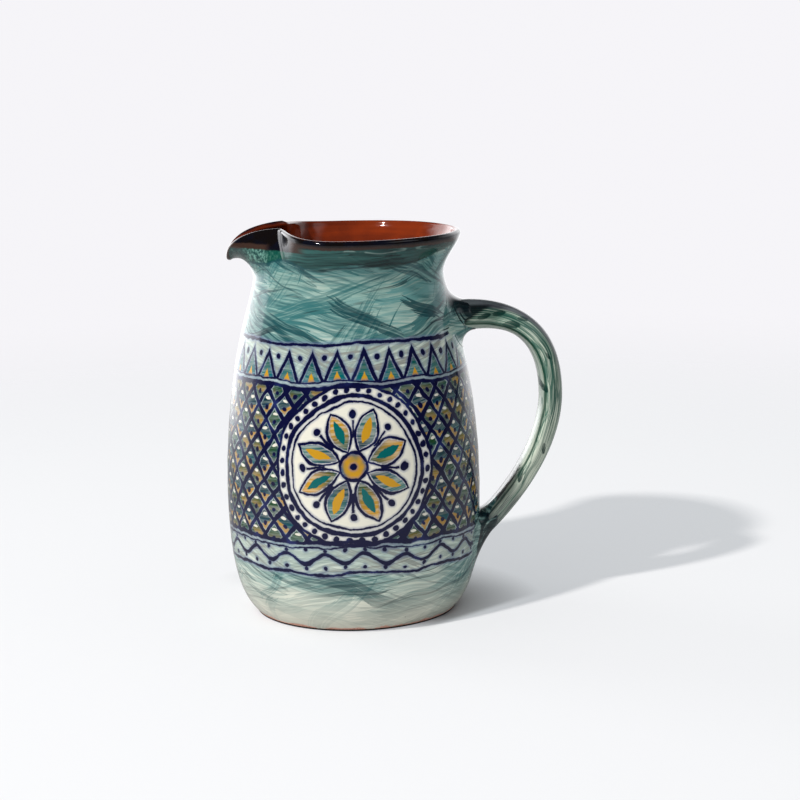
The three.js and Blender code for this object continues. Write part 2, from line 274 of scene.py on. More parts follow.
def body_rings():
    foot = [Ring(FOOT_RADIUS - FOOT_BEVEL, 0.0, None, 0, 0, WALL_LENGTH + 2),
            Ring(FOOT_RADIUS - 0.3 * FOOT_BEVEL, 0.25 * FOOT_BEVEL, None, 0, 0, WALL_LENGTH + 1)]
    outside = [ring_on_wall(run, 1, 0) for run in wall_steps(0, *OUTSIDE_RINGS)]
    rim = [ring_on_wall(WALL_LENGTH, math.cos(turn), math.sin(turn))
           for turn in np.linspace(0, math.pi, RIM_RINGS)[1:-1]]
    corner = np.interp(FLOOR + FLOOR_CORNER, WALL_POINTS[:, 1], WALL_RUN)
    inside = [ring_on_wall(run, -1, 0) for run in wall_steps(corner, *INSIDE_RINGS)[::-1]]
    edge = Vector((inside[-1].radius, inside[-1].height))
    bend = interpolate_bezier(
        edge, Vector((edge.x - 0.12 * FLOOR_CORNER, FLOOR + 0.33 * FLOOR_CORNER)),
        Vector((edge.x - 0.54 * FLOOR_CORNER, FLOOR)), Vector((edge.x - 1.25 * FLOOR_CORNER, FLOOR)),
        FLOOR_RINGS)
    floor = [Ring(p.x, p.y, None, 0, 0, -WALL_LENGTH) for p in bend[1:]]
    floor += [Ring(bend[-1].x * share, FLOOR, None, 0, 0, -WALL_LENGTH) for share in (0.66, 0.33)]
    return foot + outside + rim + inside + floor


def lay_up(name, sides, rings):
    """Closed form of rings laid on one another, each a radius and a height."""
    clear_selection()
    bpy.ops.mesh.primitive_circle_add(vertices=sides, radius=rings[0][0] * MM, fill_type="TRIFAN")
    piece = bpy.context.object
    piece.name = name
    bpy.ops.object.mode_set(mode="EDIT")
    bpy.ops.mesh.select_all(action="SELECT")
    bpy.ops.mesh.region_to_loop()
    for (low_radius, low), (high_radius, high) in zip(rings, rings[1:]):
        bpy.ops.mesh.extrude_region_move(TRANSFORM_OT_translate={"value": (0, 0, (high - low) * MM)})
        share = high_radius / low_radius
        bpy.ops.transform.resize(value=(share, share, 1), center_override=(0, 0, high * MM))
    bpy.ops.mesh.edge_face_add()
    bpy.ops.mesh.poke()
    bpy.ops.object.mode_set(mode="OBJECT")
    return piece


def smooth_skin():
    bpy.ops.object.mode_set(mode="EDIT")
    bpy.ops.mesh.select_all(action="SELECT")
    bpy.ops.mesh.normals_make_consistent(inside=False)
    bpy.ops.object.mode_set(mode="OBJECT")
    bpy.ops.object.shade_smooth()


def raise_body():
    rings = body_rings()
    body = lay_up("painted_body", COLUMNS, [(ring.radius, ring.height) for ring in rings])
    draw_spout(body, rings)
    smooth_skin()
    return body


def draw_spout(body, rings):
    """Set every ring of the wall on the drawn form, with the small unevenness of a thrown pot, and keep
    each point's drop below the lip for the finish."""
    mesh = body.data
    place = np.empty(len(mesh.vertices) * 3, np.float32)
    mesh.vertices.foreach_get("co", place)
    place = place.reshape(-1, 3).astype(float) / MM
    radius = np.hypot(place[:, 0], place[:, 1])
    ring_places = np.array([(ring.radius, ring.height) for ring in rings])
    own = [rings[np.argmin(((ring_places - (r, z)) ** 2).sum(1))] for r, z in zip(radius, place[:, 2])]
    drop = np.array([ring.drop for ring in own])
    on_wall = np.array([ring.run is not None for ring in own])
    run, off, over = np.array([(ring.run, ring.off, ring.over) for ring in own if ring.run is not None]).T
    angle = np.arctan2(place[on_wall, 1], place[on_wall, 0])
    place[on_wall] = drawn_skin(angle, run, off, over)
    for k in np.flatnonzero(on_wall):
        place[k] += thrown_waver(place[k], drop[k])
    mesh.vertices.foreach_set("co", (place * MM).astype(np.float32).ravel())
    kept = mesh.attributes.new("lip_drop", "FLOAT", "POINT")
    kept.data.foreach_set("value", drop.astype(np.float32))
    mesh.update()


def thrown_waver(p, drop):
    """Throwing rings, the slow wander of a hand-raised wall, and a lip that isn't quite level."""
    away = Vector((p[0], p[1], 0)).normalized()
    above_foot = min(max((p[2] - TRUE_FOOT) / WANDER_RISE, 0), 1)
    slow = noise.noise(Vector((away.x * 1.6, away.y * 1.6, p[2] * 0.018)))
    rings = noise.noise(Vector((away.x * 0.5, away.y * 0.5, p[2] * 0.16)))
    ripple = RIPPLE_INSIDE if drop < 0 else RIPPLE_OUTSIDE
    sideways = away * above_foot * (WANDER * slow + ripple * rings)
    near_lip = max(0, 1 - abs(drop) / LIP_WANDER_DEPTH)
    rise = WANDER * noise.noise(Vector((away.x * 1.2 + 7, away.y * 1.2, 0.3))) * near_lip
    return np.array([sideways.x, sideways.y, rise])


# Handle: a section carried along the strap's line, then cut to sit just inside the wall.

def strap_points():
    reach = BELLY_RADIUS + STAND_OFF
    root = Vector((float(wall_radius(ROOT_Z)) - EMBED, 0, ROOT_Z))
    tail = Vector((float(wall_radius(TAIL_Z)) - EMBED, 0, TAIL_Z))
    far = Vector((reach, 0, REACH_Z))
    drop = ROOT_Z - REACH_Z
    fall = REACH_Z - TAIL_Z
    leave = Vector((root.x + 0.68 * (reach - root.x), 0, ROOT_Z + 0.15 * drop))
    over = Vector((reach, 0, REACH_Z + 0.77 * drop))
    under = Vector((reach, 0, REACH_Z - 0.36 * fall))
    home = Vector((tail.x + 0.53 * (reach - tail.x), 0, TAIL_Z + 0.27 * fall))
    return root, leave, over, far, under, home, tail


STRAP_POINTS = strap_points()
STRAP_LINE = np.array(interpolate_bezier(*STRAP_POINTS[:4], STRAP_STEPS)
                      + interpolate_bezier(*STRAP_POINTS[3:], STRAP_STEPS)[1:])
STRAP_RUN = lengths(STRAP_LINE)
STRAP_LENGTH = STRAP_RUN[-1]


def root_swell(share):
    """How much thicker the strap is near its root, as a share of its thickness."""
    rest = max(0, 1 - (share * STRAP_LENGTH / SWELL_RUN) ** 2)
    return ROOT_SWELL / ROOT_THICKNESS * rest * rest


def strap_section():
    """Section of the strap at its root, fuller than an oval."""
    clear_selection()
    bpy.ops.curve.primitive_bezier_circle_add(radius=1)
    section = bpy.context.object
    section.data.dimensions = "2D"
    section.data.resolution_u = SECTION_STEPS
    half_thick, half_wide = ROOT_THICKNESS / 2 * MM, ROOT_WIDTH / 2 * MM
    for point in section.data.splines[0].bezier_points:
        point.handle_left_type = point.handle_right_type = "FREE"
        for handle in ("handle_left", "handle_right"):
            pull = (getattr(point, handle) - point.co) * STRAP_FULLNESS / OVAL_FULLNESS
            setattr(point, handle, point.co + pull)
        for part in ("handle_left", "handle_right", "co"):
            x, y, _ = getattr(point, part)
            setattr(point, part, (x * half_wide, y * half_thick, 0))
    return section


def pull_handle():
    root, leave, over, far, under, home, tail = STRAP_POINTS
    section = strap_section()
    clear_selection()
    bpy.ops.curve.primitive_bezier_curve_add()
    strap = bpy.context.object
    strap.name = "washed_handle"
    strap.data.dimensions = "3D"
    strap.data.twist_mode = "MINIMUM"
    spline = strap.data.splines[0]
    spline.bezier_points.add(1)
    nodes = ((root, root - (leave - root), leave, 1), (far, over, under, (1 + TAIL_SHARE) / 2),
             (tail, home, tail + (tail - home), TAIL_SHARE))
    for point, (place, before, after, scale) in zip(spline.bezier_points, nodes):
        point.handle_left_type = point.handle_right_type = "FREE"
        point.co, point.handle_left, point.handle_right = place * MM, before * MM, after * MM
        point.radius = scale
    spline.resolution_u = SPAN_STEPS
    strap.data.bevel_mode = "OBJECT"
    strap.data.bevel_object = section
    strap.data.use_fill_caps = True
    strap.location = (0, 0, 0)
    bpy.ops.object.convert(target="MESH")
    bpy.data.objects.remove(section)
    bpy.ops.object.mode_set(mode="EDIT")
    bpy.ops.mesh.select_all(action="SELECT")
    bpy.ops.mesh.remove_doubles(threshold=1e-6)
    bpy.ops.mesh.normals_make_consistent(inside=False)
    trim_end(strap, ROOT_Z, ROOT_Z)
    trim_end(strap, TAIL_Z, TAIL_Z + TAIL_SEAT_RISE)
    bpy.ops.object.mode_set(mode="OBJECT")
    mark_strap(strap)
    bpy.ops.object.shade_smooth_by_angle(angle=math.radians(50))
    return strap


def trim_end(strap, end_z, seat_z):
    """Cut one end of the strap along the wall, a little under its surface."""
    bpy.ops.mesh.select_all(action="DESELECT")
    bpy.ops.object.mode_set(mode="OBJECT")
    for face in strap.data.polygons:
        centre = face.center / MM
        face.select = abs(centre.z - end_z) < TRIM_REACH and centre.x < BELLY_RADIUS + TRIM_STAND
    bpy.ops.object.mode_set(mode="EDIT")
    seat, along = wall_at(np.array([np.interp(seat_z, WALL_POINTS[:, 1], WALL_RUN)]))
    out = Vector((along[0, 1], 0, -along[0, 0]))
    centre = Vector((seat[0, 0], 0, seat[0, 1])) - out * SEAT_DEPTH
    bpy.ops.mesh.bisect(plane_co=centre * MM, plane_no=out, use_fill=True, clear_inner=True)


def mark_strap(strap):
    """Swell the strap toward its root, and keep how far along it each point is, and how far out of its
    middle line."""
    mesh = strap.data
    along = mesh.attributes.new("strap_along", "FLOAT", "POINT")
    out = mesh.attributes.new("strap_out", "FLOAT", "POINT")
    for vertex in mesh.vertices:
        p = np.array(vertex.co) / MM
        near = int(np.argmin((STRAP_LINE[:, 0] - p[0]) ** 2 + (STRAP_LINE[:, 2] - p[2]) ** 2))
        a, b = STRAP_LINE[max(near - 1, 0)], STRAP_LINE[min(near + 1, len(STRAP_LINE) - 1)]
        t = (b - a) / np.linalg.norm(b - a)
        away = float(-t[2] * (p[0] - STRAP_LINE[near][0]) + t[0] * (p[2] - STRAP_LINE[near][2]))
        swell = away * root_swell(STRAP_RUN[near] / STRAP_LENGTH)
        vertex.co += Vector((-t[2], 0, t[0])) * swell * MM
        along.data[vertex.index].value = STRAP_RUN[near]
        out.data[vertex.index].value = away + swell


# Coils: clay wiped round each end of the strap, in a hollow curve from the strap down onto the wall.

def coil_rings():
    """Each ring of a coil as distance off the wall and flare round the strap: from inside the strap's
    skin, down a hollow quarter round, to just under the wall."""
    rings = [(COIL + 1.2, -0.6), (COIL + 0.3, -0.1)]
    for turn in np.linspace(0.02, 1, COIL_STEPS):
        angle = turn * math.pi / 2
        rings.append((COIL * (1 - math.sin(angle)), COIL * (1 - math.cos(angle))))
    rings.append((-0.8, COIL + 0.6))
    return rings


def wipe_coil(name, from_root, wipe_up, wipe_down):
    rings = coil_rings()
    coil = lay_up(name, COIL_SIDES, [(1, level) for level in range(len(rings))])
    shape_coil(coil, rings, from_root, wipe_up, wipe_down)
    smooth_skin()
    return coil


def shape_coil(coil, rings, from_root, wipe_up, wipe_down):
    """Set each ring of a coil round the strap's section, on a wall that curves away to both sides."""
    line = STRAP_LINE if from_root else STRAP_LINE[::-1]
    stand = line[:, 0] - wall_radius(line[:, 2])
    limit = int(np.argmax(stand > 2 * COIL))
    stand, line = stand[:limit], line[:limit]
    share = STRAP_RUN[:limit] / STRAP_LENGTH
    scale = 1 - (1 - TAIL_SHARE) * (share if from_root else 1 - share)
    for vertex in coil.data.vertices:
        level = int(round(vertex.co.z / MM))
        distance, flare = rings[min(level, len(rings) - 1)]
        centre = np.array([np.interp(distance, stand, line[:, k]) for k in (0, 2)])
        if vertex.co.xy.length < 0.5 * MM:
            vertex.co = on_wall(centre[1], 0, distance)
            continue
        ahead = np.array([np.interp(distance + 0.5, stand, line[:, k]) for k in (0, 2)]) - centre
        size = float(np.interp(distance, stand, scale))
        slope = ahead[1] / ahead[0]
        lean = float(wall_radius(centre[1] + 1) - wall_radius(centre[1] - 1)) / 2
        swell = root_swell(float(np.interp(distance, stand, share))) if from_root else 0
        tall = ROOT_THICKNESS / 2 * size * (1 + swell) * math.hypot(1, slope) / (1 - lean * slope)
        wide = ROOT_WIDTH / 2 * size
        angle = math.atan2(vertex.co.y, vertex.co.x)
        c, s = math.cos(angle), math.sin(angle)
        side = wide * math.copysign(abs(c) ** COIL_SQUARENESS, c) + flare * c
        wipe = wipe_up if s > 0 else wipe_down
        up = tall * math.copysign(abs(s) ** COIL_SQUARENESS, s) + flare * s * wipe
        back = float(wall_radius(centre[1])) * (1 - math.cos(side / SEAT_RADIUS))
        vertex.co = on_wall(centre[1] + up - slope * back, side, distance)
    coil.data.update()


def on_wall(z, side, distance):
    """Place a distance off the wall, at a height and a sideways distance from the handle's plane."""
    radius = float(wall_radius(z)) + distance
    turn = math.asin(max(-1, min(1, side / radius)))
    return Vector((radius * math.cos(turn), radius * math.sin(turn), z)) * MM


body = raise_body()
handle = pull_handle()
upper_coil = wipe_coil("upper_wiped_coil", True, 1, 1)
lower_coil = wipe_coil("lower_wiped_coil", False, TAIL_WIPE_UP, TAIL_WIPE_DOWN)


# Finishes: numbers that vary over a surface, worked out by a material's nodes.

def worked_out(operation, swapped=False):
    """A field's own method for one operation."""
    def work(field, *others):
        values = (field, *others)
        return field.finish.math(operation, *(values[::-1] if swapped else values))

    return work


class Field:
    """A number or a colour that varies over a surface."""

    def __init__(self, finish, socket):
        self.finish, self.socket = finish, socket

    __add__ = worked_out("ADD")
    __radd__ = worked_out("ADD", swapped=True)
    __sub__ = worked_out("SUBTRACT")
    __rsub__ = worked_out("SUBTRACT", swapped=True)
    __mul__ = worked_out("MULTIPLY")
    __truediv__ = worked_out("DIVIDE")
    __abs__ = worked_out("ABSOLUTE")
    root = worked_out("SQRT")
    sine = worked_out("SINE")
    cosine = worked_out("COSINE")
    part = worked_out("FRACT")
    whole = worked_out("FLOOR")

    def square(self):
        return self * self

    def ramp(self, start, end):
        """0 at start, 1 at end, eased; start may be the higher of the two."""
        return self.finish.node("ShaderNodeMapRange", 0, {"interpolation_type": "SMOOTHSTEP"},
                                Value=self, From_Min=start, From_Max=end)


class Sheet:
    """A node tree that fields are drawn on."""

    def __init__(self, tree):
        self.tree = tree

    def feed(self, socket, value):
        if isinstance(value, Field):
            self.tree.links.new(value.socket, socket)
        elif isinstance(value, tuple) and len(socket.default_value) == 4:
            socket.default_value = (*value, 1)
        else:
            socket.default_value = value

    def node(self, kind, output, settings=None, **inputs):
        node = self.tree.nodes.new(kind)
        for key, value in (settings or {}).items():
            setattr(node, key, value)
        for key, value in inputs.items():
            self.feed(node.inputs[key.replace("_", " ")], value)
        return Field(self, node.outputs[output])

    def math(self, operation, *values):
        node = self.tree.nodes.new("ShaderNodeMath")
        node.operation = operation
        for socket, value in zip(node.inputs, values):
            self.feed(socket, value)
        return Field(self, node.outputs[0])

    def least(self, first, *others):
        for other in others:
            first = self.math("MINIMUM", first, other)
        return first

    def most(self, first, *others):
        for other in others:
            first = self.math("MAXIMUM", first, other)
        return first

    def place(self):
        """Place on the piece in millimetres."""
        return self.node("ShaderNodeVectorMath", 0, {"operation": "SCALE"},
                         Vector=self.node("ShaderNodeTexCoord", "Object"), Scale=1 / MM)

    def split(self, place):
        node = self.tree.nodes.new("ShaderNodeSeparateXYZ")
        self.feed(node.inputs[0], place)
        return [Field(self, output) for output in node.outputs]

    def join(self, x, y, z):
        return self.node("ShaderNodeCombineXYZ", 0, X=x, Y=y, Z=z)

    def attribute(self, name):
        return self.node("ShaderNodeAttribute", "Fac", {"attribute_name": name})

    def laid(self, place, size, shift=(0, 0, 0)):
        """The place as counted in a grid of the given size."""
        return self.node("ShaderNodeMapping", 0, {"vector_type": "TEXTURE"},
                         Vector=place, Scale=size, Location=shift)

    def cloud(self, place, detail=2.0, rough=0.5):
        """Soft noise from 0 to 1, with a patch to every unit of the place."""
        return self.node("ShaderNodeTexNoise", 0, Vector=place, Scale=1.0, Detail=detail, Roughness=rough)

    def mottle(self, place, size, detail=2.0, rough=0.5, shift=(0, 0, 0)):
        """Soft noise from 0 to 1 whose patches have the given size."""
        size = (size,) * 3 if isinstance(size, (int, float)) else size
        return self.cloud(self.laid(place, size, shift), detail, rough)

    def cells(self, place, distance="EUCLIDEAN"):
        """Cells a unit wide: two numbers of each cell's own, from 0 to 1, and the distance to its middle."""
        node = self.tree.nodes.new("ShaderNodeTexVoronoi")
        node.distance = distance
        self.feed(node.inputs["Vector"], place)
        node.inputs["Scale"].default_value = 1
        first, second, _ = self.split(Field(self, node.outputs["Color"]))
        return first, second, Field(self, node.outputs["Distance"])

    def specks(self, place, spacing, radius):
        chance, weight, near = self.cells(self.laid(place, (spacing,) * 3))
        near = near * spacing
        return near.ramp(weight * radius * 1.3, weight * radius * 0.5) * chance.ramp(0.45, 0.5)

    def mix(self, share, first, second):
        node = self.tree.nodes.new("ShaderNodeMix")
        node.data_type = "RGBA"
        self.feed(node.inputs[0], share)
        self.feed(node.inputs[6], first)
        self.feed(node.inputs[7], second)
        return Field(self, node.outputs[2])

    def light_path(self, *kinds):
        """1 for the named kinds of ray."""
        node = self.tree.nodes.new("ShaderNodeLightPath")
        return self.most(*(Field(self, node.outputs[f"Is {kind} Ray"]) for kind in kinds))

    def blend(self, share, first, second):
        node = self.tree.nodes.new("ShaderNodeMixShader")
        for socket, value in zip(node.inputs, (share, first, second)):
            self.feed(socket, value)
        return Field(self, node.outputs[0])


class Coat:
    """Colour laid in layers, one over another."""

    def __init__(self, sheet, colour):
        self.sheet, self.colour = sheet, colour

    def lay(self, share, tone):
        self.colour = self.sheet.mix(share, self.colour, tone)


GLAZE_RUN = 0.12


class Finish(Sheet):
    """A material of the jug."""

    def __init__(self, name):
        self.material = bpy.data.materials.new(name)
        self.material.use_nodes = True
        super().__init__(self.material.node_tree)
        self.shader = self.tree.nodes["Principled BSDF"]
        self.shader.inputs["IOR"].default_value = 1.5
        self.shader.inputs["Specular IOR Level"].default_value = 0.4

    def put(self, name, value):
        self.feed(self.shader.inputs[name], value)

    def fire(self, place, colour, rough, brushwork):
        """Colour under a glaze that has run a little, with brushwork that stands up in millimetres."""
        self.put("Base Color", colour)
        self.put("Roughness", rough)
        height = self.mottle(place, 7) * GLAZE_RUN + brushwork
        self.put("Normal", self.node("ShaderNodeBump", 0, Height=height, Strength=1.0, Distance=MM))
        return self.material


def apart(across, above):
    """Distance from a point."""
    return (across.square() + above.square()).root()


def dot(across, above, radius):
    """Distance outside a dot."""
    return apart(across, above) - radius


def stripe(value, middle, half_width):
    """Distance outside a stripe."""
    return abs(value - middle) - half_width


def glossy(load):
    """Roughness of the glaze, a little duller where the colour under it is thick."""
    return 0.05 + load * 0.05


def linear(*card):
    """A colour written as on a paint card, 0 to 255, for the shader."""
    shares = [number / 255 for number in card]
    return tuple(((s + 0.055) / 1.055) ** 2.4 if s > 0.04 else s / 12.92 for s in shares)


# Colours of the wash and the band.
CREAM = linear(226, 223, 208)
MINT = linear(158, 190, 178)
PALE_SEA = linear(184, 213, 204)
DULL_SEA = linear(104, 144, 138)
SOFT_SEA = linear(98, 151, 149)
MID_SEA = linear(52, 108, 109)
DARK_SEA = linear(24, 66, 72)
LINE_SEA = linear(10, 36, 46)
SEA_GREEN = linear(62, 112, 106)
TEAL = linear(4, 94, 94)
DEEP_TEAL = linear(3, 44, 56)
NAVY = linear(9, 12, 50)
THIN_NAVY = linear(34, 44, 96)
BLUE = linear(60, 84, 142)
OCHRE = linear(190, 142, 34)
DEEP_GREEN = linear(26, 66, 36)
EMERALD = linear(0, 70, 56)

# Collar, beak and lip.
COLLAR_GREY = linear(48, 94, 90)
COLLAR_TEAL = linear(4, 28, 30)
BEAK_DARK = linear(24, 58, 56)
BEAK_MINT = linear(112, 160, 146)
BEAK_GREY = linear(46, 62, 62)
RIM_BROWN = linear(12, 8, 8)
RIM_BLUE = linear(8, 10, 22)
RIM_GREY = linear(56, 40, 34)

# Clay.
TERRACOTTA = linear(126, 46, 17)
DARK_TERRACOTTA = linear(98, 35, 16)
BARE_CLAY = linear(208, 160, 142)

# Strap and joints.
STRAP_CREAM = linear(212, 222, 204)
STRAP_GREEN = linear(66, 108, 94)
STRAP_DARK = linear(34, 68, 60)
STRAP_LINE_GREEN = linear(34, 84, 74)
GROOVE_SHADE_GREEN = linear(18, 62, 48)
DAB_GREEN = linear(10, 50, 44)
OUTER_DARK = linear(52, 70, 68)
OUTER_PALE = linear(120, 132, 128)
LOWER_DARK = linear(98, 118, 112)
LOWER_PALE = linear(156, 168, 160)
INNER_HIGHLIGHT = linear(180, 192, 182)
TOP_REFLECTION_GREY = linear(112, 112, 120)
TOP_REFLECTION_VIOLET = linear(66, 60, 74)
TOP_REFLECTION_PALE = linear(128, 128, 136)
ROOT_INK = linear(10, 13, 20)
ROOT_TEAL = linear(14, 32, 36)
TAIL_BROWN = linear(36, 32, 28)
JOINT_INK = linear(12, 15, 26)
JOINT_TEAL = linear(12, 32, 38)


# Layers of the brushed wash, first to last: the way each layer's middle faces and its strokes' heading, both
# in degrees, the strokes' length and width, the share of them that is laid, and their colour.
WASH_LAYERS = (
    (-60, 4, 64, 13, 0.95, SOFT_SEA),
    (120, -10, 54, 10, 0.85, MID_SEA),
    (-150, 52, 40, 9, 0.2, MID_SEA),
    (30, 16, 50, 8, 0.55, MID_SEA),
    (-90, -22, 42, 7, 0.44, DARK_SEA),
    (60, 8, 46, 1.6, 0.14, LINE_SEA),
)
BRUSH_RADIUS = 55
BRISTLE = 1.25
LAYER_SEED = 7.3
COLLAR_SEED = 31


def turn_from(finish, x, y, facing):
    """Angle round the jug, counted from the way that is faced."""
    c, s = math.cos(math.radians(facing)), math.sin(math.radians(facing))
    return finish.math("ARCTAN2", y * c - x * s, x * c + y * s)


def brushed(finish, u, level, heading, long, wide, seed):
    """Flat-brush strokes on the wall: a chance and a load for each, and the marks that its bristles leave."""
    lean = math.radians(heading)
    along = u * math.cos(lean) + level * math.sin(lean)
    across = level * math.cos(lean) - u * math.sin(lean)
    ragged = finish.cloud(finish.join(across / BRISTLE, along / 30, seed))
    ends = along + (ragged - 0.5) * (long * 0.8)
    chance, load, _ = finish.cells(finish.join(ends / long, across / wide, seed), "CHEBYCHEV")
    marks = finish.cloud(finish.join(across / BRISTLE, along / 34, chance * 40 + seed), 3.0, 0.6)
    return chance, load, marks


def wash_thinness(z):
    """The wash runs out toward the foot."""
    return 0.15 + z.ramp(4, 42) * 0.85


def washed(finish, place, thinness):
    """Brushed wash: strokes of sea green over the pale slip, one over another, each streaked by its bristles,
    with a few thin dark ones last."""
    x, y, z = finish.split(place)
    level = z + (finish.mottle(place, 38, 1.0) - 0.5) * 13
    bend = (finish.mottle(place, 34, 1.0, shift=(21, 5, 13)) - 0.5) * 15
    high = z.ramp(118, 166)
    pale = finish.mix(high * 0.8, PALE_SEA, DULL_SEA)
    slip = finish.mottle(place, 14) * thinness * 0.8 + high * 0.4
    coat = Coat(finish, finish.mix(slip, CREAM, MINT))
    first_marks = None
    for layer, (facing, heading, long, wide, share, tint) in enumerate(WASH_LAYERS):
        turn = turn_from(finish, x, y, facing)
        u = turn * BRUSH_RADIUS + bend
        chance, load, marks = brushed(finish, u, level, heading, long, wide, LAYER_SEED * layer)
        first_marks = first_marks or marks
        reach = abs(turn).ramp(3.05, 2.8)
        laid = chance.ramp(0.99 - share, 1.01 - share) * (0.6 + load * 0.35) * reach
        wet = (marks + (load - 0.5) * 0.14).ramp(0.34, 0.54)
        stroke = finish.mix(wet, pale, tint)
        stroke = finish.mix(marks.ramp(0.6, 0.68) * 0.8, stroke, LINE_SEA)
        coat.lay(laid * thinness * (0.35 + wet * 0.65), stroke)
    coat.lay(high * 0.13, DARK_SEA)
    return coat.colour, first_marks


# Brushwork round the joints: the height of its middle, its half width and half height, and how far above its
# middle the dark strokes are laid.
JOINT_PATCHES = ((ROOT_Z + 0.5, 24, 21, 7), (TAIL_Z + 2, 22, 22, 1))


def brushed_joints(finish, place, coat, wash):
    """Lay a ragged patch of wash round each joint, over wall and coil alike, and dark strokes that sweep
    round the strap's end and run out into it."""
    x, y, z = finish.split(place)
    load = finish.mottle(place, 8, shift=(2, 7, 5))
    sweep = (finish.mottle(place, 17, 1.0, shift=(9, 4, 6)) - 0.5) * 0.7
    tone = finish.mix(load.ramp(0.35, 0.65), JOINT_INK, JOINT_TEAL)
    handle_side = x.ramp(28, 36)
    for middle, half_wide, half_tall, lifted in JOINT_PATCHES:
        across, above = y / half_wide, (z - middle) / half_tall
        away = apart(across, above)
        from_dark = apart(across, above - lifted / half_tall)
        outward = (away + sweep) * (half_wide / BRISTLE)
        marks = finish.cloud(finish.join(outward, across / away * 0.9, above / away * 0.9), 3.0, 0.6)
        ragged = away + (marks - 0.5) * 0.35 + (load - 0.5) * 0.3
        coat.lay(ragged.ramp(1.08, 1.0) * handle_side, wash)
        dark = (marks * 1.1 + load * 0.4 + from_dark.ramp(0.9, 0.3) * 0.7).ramp(0.93, 1.2)
        coat.lay(dark * handle_side * away.ramp(1.05, 0.9) * 0.93, tone)


# Painted band: sizes in millimetres, on a wall that is unrolled at one radius.
BAND_RADIUS = 62
BAND_FOOT, BAND_TOP = 31.6, 141.6
LATTICE_FOOT, LATTICE_TOP = 47, 121.6
LATTICE_COUNT = 34
LATTICE_PITCH = 2 * math.pi * BAND_RADIUS / LATTICE_COUNT
LATTICE_RISE = 14
LATTICE_GAP = 1 / math.hypot(1 / LATTICE_PITCH, 1 / LATTICE_RISE)
PANEL_Z = 84
PANEL_RADIUS = 38.8
PETALS = 8
PETAL_TURN = 2 * math.pi / PETALS
PETAL_MIDDLE, PETAL_HALF_LENGTH, PETAL_HALF_WIDTH = 17.6, 10.6, 5.4
BEADS = 40
BEAD_RING = 36.2
TEETH = 28
TOOTH_PITCH = 12.9
TOOTH_FOOT, TOOTH_HEIGHT, TOOTH_HALF_WIDTH = 125, 12.5, 5.7
WAVES = 20
WAVE_Z = 38.8


class Hand:
    """Where the painter's hand is on the body, how it wanders, so that nothing is ruled, and how loaded the
    brush is."""

    def __init__(self, glaze):
        self.place = glaze.place()
        self.x, self.y, self.z = glaze.split(self.place)
        self.turn = glaze.math("ARCTAN2", self.y, self.x)
        self.drop = glaze.attribute("lip_drop")
        self.sway = glaze.mottle(self.place, 30, 1.0, shift=(3, 8, 1)) - 0.5
        self.lift = glaze.mottle(self.place, 30, 1.0, shift=(19, 2, 31)) - 0.5
        self.shake = glaze.mottle(self.place, 5, 1.0, shift=(5, 1, 9)) - 0.5
        jolt = glaze.mottle(self.place, 5, 1.0, shift=(1, 15, 4)) - 0.5
        self.u = self.turn * BAND_RADIUS + self.sway * 6 + self.shake * 1.7
        self.v = self.z + self.lift * 6 + jolt * 1.7
        self.load = glaze.mottle(self.place, 9, shift=(11, 3, 2))
        self.grit = glaze.mottle(self.place, 1.1)


def lattice(glaze, hand, marks):
    """Diamonds filled with teal and ochre in turn, each with a crescent, a dash and a dot: distance from
    the lines, distance outside the ink, the filling, and distance from the dash."""
    first = hand.u / LATTICE_PITCH + hand.v / LATTICE_RISE
    second = hand.u / LATTICE_PITCH - hand.v / LATTICE_RISE
    fa, fb = first.part() - 0.5, second.part() - 0.5
    near = (0.5 - glaze.most(abs(fa), abs(fb))) * LATTICE_GAP
    row = (first.whole() - second.whole()) * 0.5
    odd = row.part().ramp(0.2, 0.3)
    across, above = (fa + fb) * (LATTICE_PITCH / 2), (fa - fb) * (LATTICE_RISE / 2)
    column = glaze.math("FLOORED_MODULO", first.whole(), LATTICE_COUNT)
    other = glaze.math("FLOORED_MODULO", second.whole(), LATTICE_COUNT)
    each = glaze.node("ShaderNodeTexWhiteNoise", 0, {"noise_dimensions": "2D"},
                      Vector=glaze.join(column, other, 0))
    height = above + hand.load * 3 + each * 5
    cell = glaze.mix(odd, glaze.mix(height.ramp(-3.0, 6.5), TEAL, DEEP_TEAL),
                     glaze.mix(height.ramp(-2.0, 6.5), OCHRE, DEEP_GREEN))
    crescent = (across * (each - 0.5) * 1.6 - above + (marks - 0.5) * 3).ramp(0.9, 1.6)
    cell = glaze.mix(crescent * 0.85, cell, glaze.mix(odd, OCHRE, EMERALD))
    dash = ((across - (each - 0.5) * 1.6) / 1.7).square() + ((above - 2.7) / 0.75).square()
    ink = glaze.least(near - 1.05, dot(across, above + 1.5, 1.1))
    return near - each * 0.4, ink, cell, dash


